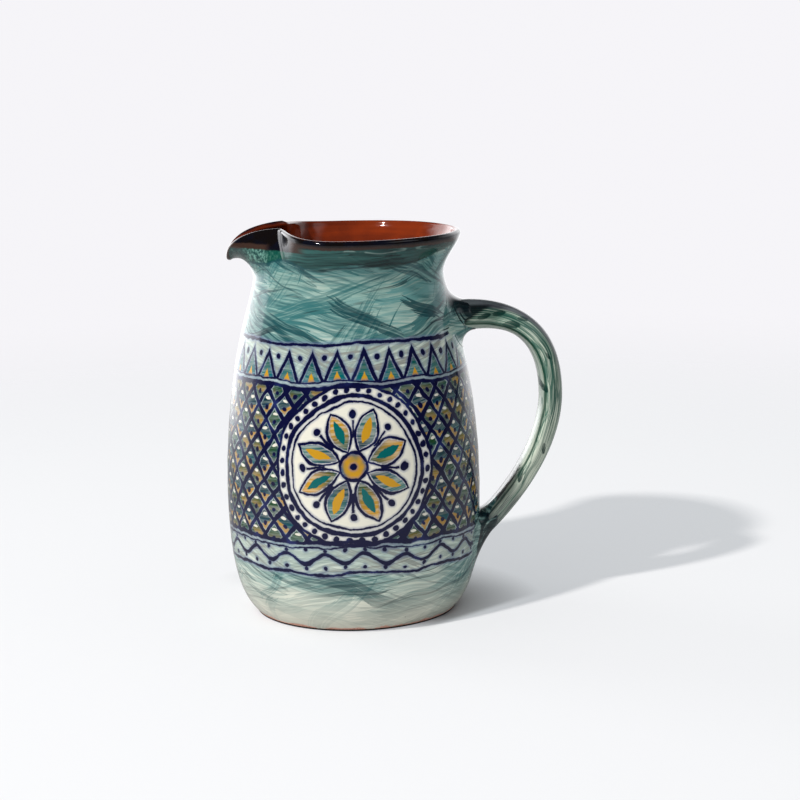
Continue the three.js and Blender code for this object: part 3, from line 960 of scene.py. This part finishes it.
def rosette(glaze, hand):
    """Round panels, front and back, each with a ring of beads and a flower: distance from the panel's
    middle and along a petal, distances outside the petals and the ink, and which petals are odd."""
    px = (abs(hand.turn) - math.pi / 2) * BAND_RADIUS + hand.sway * 4 + hand.shake * 1.2
    py = hand.v - PANEL_Z
    rho = apart(px, py)
    psi = glaze.math("ARCTAN2", py, px) / (2 * math.pi) + 0.5
    sector = psi * PETALS
    lean = (sector.part() - 0.5) * PETAL_TURN
    along, aside = rho * lean.cosine(), abs(rho * lean.sine())
    petal = aside - (1 - ((along - PETAL_MIDDLE) / PETAL_HALF_LENGTH).square()) * PETAL_HALF_WIDTH
    odd = (sector.whole() * 0.5).part().ramp(0.2, 0.3)
    gap = (abs(sector.part() - 0.5) - 0.5) * PETAL_TURN
    up_gap, off_gap = rho * gap.cosine(), abs(rho * gap.sine())
    bud = dot(off_gap, up_gap - 24.4, 1.7)
    stalk = glaze.most(off_gap - 0.5, stripe(up_gap, 17.5, 4.6))
    bead_turn = ((psi * BEADS).part() - 0.5) * (2 * math.pi * BEAD_RING / BEADS)
    bead = dot(bead_turn, rho - BEAD_RING, 1.35)
    rings = glaze.least(stripe(rho, PANEL_RADIUS, 0.75), stripe(rho, 33.4, 1.0), stripe(rho, 30.4, 0.4), bead)
    flower = glaze.least(abs(petal) - 0.62, bud, stalk, stripe(rho, 6.4, 0.7), rho - 1.5)
    return rho, along, petal, glaze.least(rings, flower), odd


def borders(glaze, hand):
    """A row of triangles with pearls above, and a wave with dots below: distances outside the triangles and
    the ink."""
    v = hand.v
    tooth = ((hand.turn * (TEETH / (2 * math.pi)) + hand.sway * 0.15).part() - 0.5) * TOOTH_PITCH
    triangle = (abs(tooth) / TOOTH_HALF_WIDTH + (v - TOOTH_FOOT) / TOOTH_HEIGHT - 1) * 5
    pearl = dot(abs(tooth) - TOOTH_PITCH / 2, v - 135.5, 1.25)
    upper = glaze.least(stripe(v, LATTICE_TOP, 0.95), stripe(v, 124.3, 0.4), pearl,
                        glaze.most(abs(triangle) - 0.72, 124.3 - v), stripe(v, BAND_TOP, 0.6))
    wave = v - WAVE_Z - (hand.turn * WAVES).sine() * 2.5
    beside = ((hand.turn * WAVES + hand.sway * 1.5) / (2 * math.pi) * 2).part() - 0.5
    low_dot = dot(beside * 9.6, stripe(v, WAVE_Z, 4.3), 0.95)
    lower = glaze.least(stripe(v, LATTICE_FOOT, 0.95), stripe(v, 44.4, 0.4), abs(wave) - 0.95, low_dot,
                        stripe(v, BAND_FOOT, 0.65))
    return triangle, glaze.least(upper, lower)


def painted_band(glaze, hand, coat, marks):
    """Lay lattice, panels and borders over the wash, and tell where their lines are drawn."""
    v, load, grit = hand.v, hand.load, hand.grit - 0.5
    near, lattice_ink, cell, dash = lattice(glaze, hand, marks)
    rho, petal_along, petal, panel_ink, odd_petal = rosette(glaze, hand)
    triangle, border_ink = borders(glaze, hand)
    outside_panel = rho - PANEL_RADIUS
    in_lattice = v.ramp(46.5, 47) * v.ramp(121.5, 121) * outside_panel.ramp(0, 0.3)
    in_panel = outside_panel.ramp(0.2, -0.2)
    standing = v.ramp(124.6, 125)
    streak = marks.ramp(0.38, 0.6)

    ink = glaze.least(border_ink, panel_ink, lattice_ink + (1 - in_lattice) * 9)
    ink = ink + (load - 0.5) * 1.1 + grit * 0.5
    drawn = ink.ramp(0.28, -0.12)
    bleed = ink.ramp(1.5, 0.0) * (0.45 - in_lattice * 0.28)

    # The band's ground, and the lattice.
    coat.lay(v.ramp(29.5, 31.5) * v.ramp(143.5, 141.5) * 0.3, CREAM)
    filled = in_lattice * (near + grit * 0.9).ramp(0.95, 1.25) * (0.74 + streak * 0.26)
    coat.lay(filled, cell)
    coat.lay(in_lattice * (dash + grit).ramp(1.1, 0.7) * 0.9, CREAM)

    # Triangles, each with a small one inside.
    tooth_fill = standing * (triangle + grit * 0.8).ramp(-0.9, -1.4) * (0.62 + streak * 0.38)
    coat.lay(tooth_fill, glaze.mix(v.ramp(127, 136), TEAL, DEEP_GREEN))
    coat.lay(standing * (triangle + grit * 0.6).ramp(-3.3, -3.7), OCHRE)

    # Panels: pale ground, petals with a smaller one inside, and the flower's eye.
    coat.lay(in_panel, glaze.mix(marks * 0.12, CREAM, MINT))
    toward_tip = (petal_along + load * 8).ramp(12, 28)
    petal_tone = glaze.mix(odd_petal, glaze.mix(toward_tip, DEEP_TEAL, SEA_GREEN),
                           glaze.mix(toward_tip, DEEP_GREEN, OCHRE))
    petal_fill = (petal + grit * 0.8).ramp(-0.8, -1.3) * in_panel * (0.66 + streak * 0.34)
    coat.lay(petal_fill, petal_tone)
    petal_heart = (petal + grit * 0.8).ramp(-3.1, -3.5) * in_panel
    coat.lay(petal_heart, glaze.mix(odd_petal, OCHRE, TEAL))
    eye_tone = glaze.mix(load.ramp(0.4, 0.7), OCHRE, TEAL)
    coat.lay((rho + grit).ramp(6.2, 5.6), eye_tone)

    coat.lay(bleed, BLUE)
    coat.lay(drawn, glaze.mix(load.ramp(0.5, 0.8), NAVY, THIN_NAVY))
    return drawn


def brushed_collar(glaze, hand, coat):
    """Collar in long streaks, dabbed on the beak; the lip's dark edge, and the beak dark down to a level
    line."""
    x, y, z, drop, load = hand.x, hand.y, hand.z, hand.drop, hand.load
    around = turn_from(glaze, x, y, -90) * BRUSH_RADIUS
    _, streak_load, streaks = brushed(glaze, around, z + hand.lift * 5, 2, 46, 6, COLLAR_SEED)
    beak = x.ramp(-26.5, -29.0) * z.ramp(170, 174)

    # Streaks, with a few pale ones near the lip.
    collar = glaze.mix((streaks * 0.9 + streak_load * 0.35 - 0.12).ramp(0.30, 0.70), COLLAR_TEAL, COLLAR_GREY)
    pale = glaze.cloud(glaze.join((z + hand.lift * 9) / 5, x / 40, y / 40), 1.0)
    pale = abs(pale - 0.5).ramp(0.045, 0.02) * load.ramp(0.48, 0.6)
    collar = glaze.mix(pale * drop.ramp(9, 5) * 0.35, collar, PALE_SEA)

    # Dabs on the beak, and greener colour run together in the crease and over the handle.
    dabbed = glaze.mottle(hand.place, 1.7, 3.0, 0.65, shift=(4, 4, 4))
    beak_colour = glaze.mix(dabbed.ramp(0.4, 0.7), BEAK_DARK, BEAK_MINT)
    beak_colour = glaze.mix(x.ramp(-46, -53) * 0.8, beak_colour, BEAK_GREY)
    collar = glaze.mix(beak * x.ramp(-31, -33), collar, beak_colour)
    crease = x.ramp(-29.8, -31.0) * x.ramp(-42, -36.5) * z.ramp(176.5, 179) * y.ramp(-6, -10)
    over_handle = x.ramp(30, 36) * drop.ramp(13, 10) * drop.ramp(4, 6) * 0.7
    collar = glaze.mix(glaze.most(crease, over_handle) * (0.55 + load * 0.45), collar, EMERALD)
    # Painted shade: the collar is darkened toward the handle side, away from the lamp.
    collar = glaze.mix(x.ramp(5, 45) * 0.4, collar, COLLAR_TEAL)

    # The collar's uneven lower edge, darker beside the spout.
    edge = 14.6 - abs(hand.turn).ramp(0.95, 0.4) * 9 + (hand.turn * 9).sine() * 1.1 + (load - 0.5) * 5
    below = drop + (streaks - 0.5) * 3
    coat.lay(below.ramp(edge + 1.0, edge - 0.8) * 0.94, collar)
    edge_line = abs(below - edge) - 0.3 - load * 0.6
    coat.lay(edge_line.ramp(0.5, -0.2) * x.ramp(-8, -24) * 0.75, DARK_SEA)

    # The lip's dark edge.
    lip_run = drop + (hand.grit - 0.5) * 0.8 + (load - 0.5) * 1.2
    level_line = x.ramp(-19, -25) * (z + (load - 0.5) * 1.4).ramp(183.7, 184.6)
    lip_dark = glaze.most((lip_run + x.ramp(-42, -50) * 2.6).ramp(4.4, 3.6), level_line)
    thin = beak * (z + (load - 0.5) * 3).ramp(187.2, 186.2) * x.ramp(-37, -41)
    lip_tone = glaze.mix(load.ramp(0.42, 0.62), RIM_BROWN, RIM_BLUE)
    lip_tone = glaze.mix(glaze.most(lip_run.ramp(1.6, 3.4) * (1 - beak), thin), lip_tone, RIM_GREY)
    coat.lay(lip_dark, lip_tone)


def bare_clay(glaze, hand, coat):
    """Lay red clay inside, and a wiped foot with a dark line of painted shade at its edge, and tell where
    these two are.
    """
    z, load, grit = hand.z, hand.load, hand.grit
    rings = glaze.mottle(hand.place, (60, 60, 3.5))
    clay = glaze.mix((rings + load * 0.5).ramp(0.45, 0.95), TERRACOTTA, DARK_TERRACOTTA)
    inside = (hand.drop + (load - 0.5) * 0.6).ramp(0.2, -0.5)
    coat.lay(inside, clay)
    foot = (z + (load - 0.5) * 4.0 + (grit - 0.5) * 1.2).ramp(2.3, 1.7) * hand.drop.ramp(0, 1)
    coat.lay(foot, glaze.mix(grit.ramp(0.5, 0.75) * 0.7, BARE_CLAY, TERRACOTTA))
    underside = apart(hand.x, hand.y).ramp(FOOT_RADIUS - 0.9, FOOT_RADIUS - 1.4)
    # Painted shade: a dark line along the foot's lowest edge, where it meets the floor.
    painted_foot_shade = (z + (grit - 0.5) * 0.5).ramp(1.3, 0.9) * (1 - underside)
    coat.lay(painted_foot_shade, RIM_BROWN)
    return inside, foot


def painted_glaze():
    """Brushed wash with a painted band, a dark brushed collar, and bare red clay inside and at the foot."""
    glaze = Finish("painted_glaze")
    hand = Hand(glaze)
    wash, marks = washed(glaze, hand.place, wash_thinness(hand.z))
    coat = Coat(glaze, wash)
    drawn = painted_band(glaze, hand, coat, marks)
    brushed_joints(glaze, hand.place, coat, wash)
    brushed_collar(glaze, hand, coat)
    inside, foot = bare_clay(glaze, hand, coat)
    coat.lay(glaze.specks(hand.place, 8.0, 0.42) * 0.8 * (1 - inside), RIM_BROWN)
    gloss = glossy(hand.load)
    return glaze.fire(hand.place, coat.colour, gloss + (0.75 - gloss) * foot, marks * 0.02 + drawn * 0.02)


# Dabs on the strap, in millimetres: distance along it and out of its middle line, length and width.
STRAP_DABS = ((17.5, 0.2, 3.4, 1.5), (24.5, 2.6, 3.2, 1.5), (32.0, -1.2, 4.6, 2.0), (36.0, 3.6, 2.6, 1.1),
              (57.0, 1.2, 2.2, 0.7), (69.0, -5.8, 4.0, 1.2), (73.0, -3.6, 2.6, 1.5), (104.0, 1.8, 3.0, 1.1),
              (121.0, -2.4, 4.0, 1.2))


def washed_glaze():
    """Fine streaks drawn along the strap, greyer on its outer face and paler below, a painted reflection
    along the top near the root, a painted highlight and a line of painted shade on the inner side, a few
    dabs, a dark stroke that tapers from its root, and a dark tail."""
    glaze = Finish("washed_glaze")
    place = glaze.place()
    y = glaze.split(place)[1]
    along, out = glaze.attribute("strap_along"), glaze.attribute("strap_out")
    load = glaze.mottle(place, 9)
    sway = glaze.mottle(place, 26, 1.0) - 0.5
    laid = glaze.join(along, y + sway * 5, out + sway * 4)
    fine = glaze.mottle(laid, (46, 0.6, 0.6), 3.0, 0.65)
    broad = glaze.mottle(laid, (60, 3.4, 3.4))
    thread = glaze.mottle(laid, (80, 4.2, 4.2), 1.0, shift=(3, 9, 2))
    lower = along.ramp(76, 108)

    # Streaks on the side and the outer face, a painted highlight on the inner face, thin threads, and a line
    # of painted shade beside the inner face.
    strength = fine * 0.95 + broad * 0.4 - lower * 0.15
    coat = Coat(glaze, glaze.mix(strength.ramp(0.46, 0.78), STRAP_CREAM, STRAP_GREEN))
    outer = out + sway * 2
    dark_band = outer.ramp(0.4, 1.8) * outer.ramp(5.0, 3.4) * fine.ramp(0.36, 0.62)
    coat.lay(dark_band * (0.75 - lower * 0.45), STRAP_DARK)
    upper_face = glaze.mix(fine, OUTER_DARK, OUTER_PALE)
    lower_face = glaze.mix(fine, LOWER_DARK, LOWER_PALE)
    outer_tone = glaze.mix(lower, upper_face, lower_face)
    coat.lay(out.ramp(3.0, 5.6) * 0.65, outer_tone)
    # Painted highlight along the inner face.
    coat.lay(out.ramp(-3.4, -4.4) * 0.7, INNER_HIGHLIGHT)
    coat.lay(abs(thread - 0.5).ramp(0.016, 0.006) * 0.7, STRAP_LINE_GREEN)
    # Painted shade: a dark line along the edge of the inner face, where a groove would be.
    groove_shade = stripe(out + sway * 2, -3.2, 0.3) - load * 0.4 + lower * 0.25
    coat.lay(groove_shade.ramp(0.4, -0.1) * 0.85, GROOVE_SHADE_GREEN)

    # Dabs that lean, each heavier at the end where the brush was lifted.
    there = along + y.ramp(-3, 3) * 9
    for place_along, place_out, long, wide in STRAP_DABS:
        ahead = there - place_along + (fine - 0.5) * 3
        aside = out - place_out - ahead * 0.3 + (load - 0.5) * 2
        dab = (ahead / long).square() + (aside / wide).square()
        weight = 0.62 + ahead.ramp(-long, long) * 0.34
        coat.lay(dab.ramp(1.1, 0.75) * weight, DAB_GREEN)

    # A painted grey reflection along the top, then the dark root and tail.
    painted_top_reflection = out.ramp(3.6, 5.2) * along.ramp(75, 45) * (0.55 + fine.ramp(0.65, 0.35) * 0.35)
    top_reflection_tone = glaze.mix(along.ramp(12, 22), TOP_REFLECTION_GREY, TOP_REFLECTION_VIOLET)
    top_reflection_tone = glaze.mix(fine.ramp(0.35, 0.65) * 0.5, top_reflection_tone, TOP_REFLECTION_PALE)
    coat.lay(painted_top_reflection, top_reflection_tone)
    wipe = (fine - 0.5) * 5 + (load - 0.5) * 3
    stroke = (4.5 + (out + 4.6) * 1.65 - along + wipe * 0.8).ramp(-1.6, 1.8) * out.ramp(6.2, 4.8)
    root = glaze.most(stroke, (along + wipe).ramp(9, 5))
    coat.lay(root * 0.93, glaze.mix(load.ramp(0.4, 0.7), ROOT_INK, ROOT_TEAL))
    from_tail = STRAP_LENGTH - along + wipe * 2
    tail = glaze.most(from_tail.ramp(24, 12) * 0.85, from_tail.ramp(42, 26) * fine.ramp(0.6, 0.42) * 0.8)
    coat.lay(tail, glaze.mix(load.ramp(0.35, 0.65), NAVY, DEEP_TEAL))
    tail_edge = out.ramp(-3.8, -4.2) * (STRAP_LENGTH - along + wipe).ramp(48, 38)
    coat.lay(tail_edge * 0.85, TAIL_BROWN)
    coat.lay(glaze.specks(place, 7.0, 0.4) * 0.8, RIM_BROWN)
    return glaze.fire(place, coat.colour, glossy(load), fine * 0.05)


def joint_glaze():
    """The wall's wash, with the same dark strokes round the joints as on the wall beside them."""
    glaze = Finish("joint_glaze")
    place = glaze.place()
    wash, marks = washed(glaze, place, wash_thinness(glaze.split(place)[2]))
    load = glaze.mottle(place, 9, shift=(11, 3, 2))
    coat = Coat(glaze, wash)
    brushed_joints(glaze, place, coat, wash)
    return glaze.fire(place, coat.colour, glossy(load), marks * 0.02)


def dress(piece, material):
    piece.data.materials.clear()
    piece.data.materials.append(material)


dress(body, painted_glaze())
dress(handle, washed_glaze())
joints = joint_glaze()
dress(upper_coil, joints)
dress(lower_coil, joints)


# Camera, light and floor, in metres and degrees.
CAMERA_PLACE = (0, -0.9868, 0.2853)
CAMERA_DOWN = 10.38
CAMERA_RIGHT = 1.40
CAMERA_ROLL = -1.19
CAMERA_LENS = 90
CAMERA_SENSOR = 36
LAMP_AIM = Vector((0, 0, 0.1))


def set_camera():
    camera = bpy.data.objects.new("camera", bpy.data.cameras.new("camera"))
    bpy.context.scene.collection.objects.link(camera)
    aim = Euler((math.radians(90 - CAMERA_DOWN), 0, math.radians(-CAMERA_RIGHT))).to_matrix()
    turned = aim @ Matrix.Rotation(math.radians(CAMERA_ROLL), 3, "Z")
    camera.matrix_world = Matrix.Translation(CAMERA_PLACE) @ turned.to_4x4()
    camera.data.sensor_width = CAMERA_SENSOR
    camera.data.lens = CAMERA_LENS
    bpy.context.scene.camera = camera


def add_light(name, place, energy, size, tint, mirrored):
    """Lamp whose light is as strong far off as near, and that may be seen in the glaze."""
    lamp = bpy.data.lights.new(name, "AREA")
    lamp.energy = energy
    lamp.color = tint
    lamp.shape = "RECTANGLE"
    lamp.size, lamp.size_y = size
    lamp.use_nodes = True
    even = lamp.node_tree.nodes.new("ShaderNodeLightFalloff")
    even.inputs["Strength"].default_value = 1
    lamp.node_tree.links.new(even.outputs["Constant"], lamp.node_tree.nodes["Emission"].inputs["Strength"])
    holder = bpy.data.objects.new(name, lamp)
    bpy.context.scene.collection.objects.link(holder)
    holder.visible_glossy = mirrored
    holder.location = place
    holder.rotation_euler = (LAMP_AIM - Vector(place)).to_track_quat("-Z", "Y").to_euler()


def light_room():
    """Pale backdrop for the camera. In the glaze, the room is brightest behind and to the left, and dim
    overhead and on the camera's side."""
    world = bpy.data.worlds.new("studio")
    bpy.context.scene.world = world
    world.use_nodes = True
    room = Sheet(world.node_tree)
    x, y, z = room.split(room.node("ShaderNodeTexCoord", "Generated"))
    back = y.ramp(0.0, 0.4) * z.ramp(0.6, 0.2) * (0.3 + x.ramp(0.4, -0.4) * 0.6)
    behind = y.ramp(0.5, 0.9) * z.ramp(0.55, 0.3) * 1.1
    far_corner = y.ramp(0.32, 0.42) * z.ramp(0.6, 0.4)
    high = z.ramp(0.0, 0.12)
    left_panel = x.ramp(-0.22, -0.33) * far_corner * (1.2 + high)
    right_panel = x.ramp(0.22, 0.33) * far_corner * high * 0.5
    near_card = x.ramp(0.45, 0.75) * y.ramp(0.0, -0.2) * z.ramp(0.3, 0.45) * z.ramp(0.9, 0.7)
    above_table = z.ramp(-0.36, -0.22)
    shine = 0.04 + (back + behind + left_panel) * above_table + near_card + right_panel
    glow = room.node("ShaderNodeBackground", 0, Color=(0.95, 0.975, 1.0), Strength=0.55)
    mirrored = room.node("ShaderNodeBackground", 0, Color=(0.95, 0.95, 0.97), Strength=shine)
    backdrop = room.node("ShaderNodeBackground", 0, Color=(0.92, 0.91, 0.94), Strength=1.0)
    seen = room.blend(room.light_path("Glossy", "Transmission"), glow, mirrored)
    seen = room.blend(room.light_path("Camera"), seen, backdrop)
    room.feed(world.node_tree.nodes["World Output"].inputs["Surface"], seen)


def grey(level):
    return (level,) * 3


def lay_floor():
    """Pale floor that fades into the backdrop, a little darker in the shadow close to the foot."""
    clear_selection()
    bpy.ops.mesh.primitive_circle_add(vertices=96, radius=3, fill_type="NGON")
    floor = bpy.context.object
    floor.name = "floor"
    material = bpy.data.materials.new("pale_floor")
    material.use_nodes = True
    paper = Sheet(material.node_tree)
    paper.tree.nodes.remove(paper.tree.nodes["Principled BSDF"])
    place = paper.place()
    x, y, _ = paper.split(place)
    seen = paper.light_path("Camera")
    open_floor = paper.node("ShaderNodeAmbientOcclusion", "AO", {"samples": 8}, Distance=0.04)
    in_shadow = (x + y).ramp(-30, 20) * (x * 0.68 - y * 0.73).ramp(61, 54)
    shaded = in_shadow * (1 - open_floor.square())
    unseen_tone = paper.mix(paper.light_path("Glossy"), grey(0.6), grey(0.38))
    seen_tone = paper.mix(shaded * 0.7, grey(0.76), grey(0.36))
    matt = paper.node("ShaderNodeBsdfDiffuse", 0, Color=paper.mix(seen, unseen_tone, seen_tone))
    bright = paper.node("ShaderNodeEmission", 0, Color=(0.92, 0.955, 1.0), Strength=0.98 - shaded * 0.98)
    surface = paper.blend(seen * 0.39, matt, bright)
    faded = apart(x, y).ramp(350, 1100)
    surface = paper.blend(faded, surface, paper.node("ShaderNodeBsdfTransparent", 0))
    paper.feed(paper.tree.nodes["Material Output"].inputs["Surface"], surface)
    floor.data.materials.append(material)


set_camera()
add_light("window", place=(-0.776, -0.723, 1.061), energy=9.5, size=(0.075, 0.075), tint=(1.0, 0.96, 0.94),
          mirrored=True)
add_light("left_panel", place=(-1.0, 0.6, 0.35), energy=2.4, size=(0.5, 0.9), tint=(1.0, 1.0, 1.0),
          mirrored=False)
light_room()
lay_floor()

bpy.context.scene.view_settings.view_transform = "Standard"

for piece, node, slot in ((body, "thrown_body", "painted_glaze"), (handle, "strap_handle", "washed_glaze"),
                          (upper_coil, "upper_joint_coil", "joint_glaze"),
                          (lower_coil, "lower_joint_coil", "joint_glaze")):
    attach(piece, "root")
    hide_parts(node)
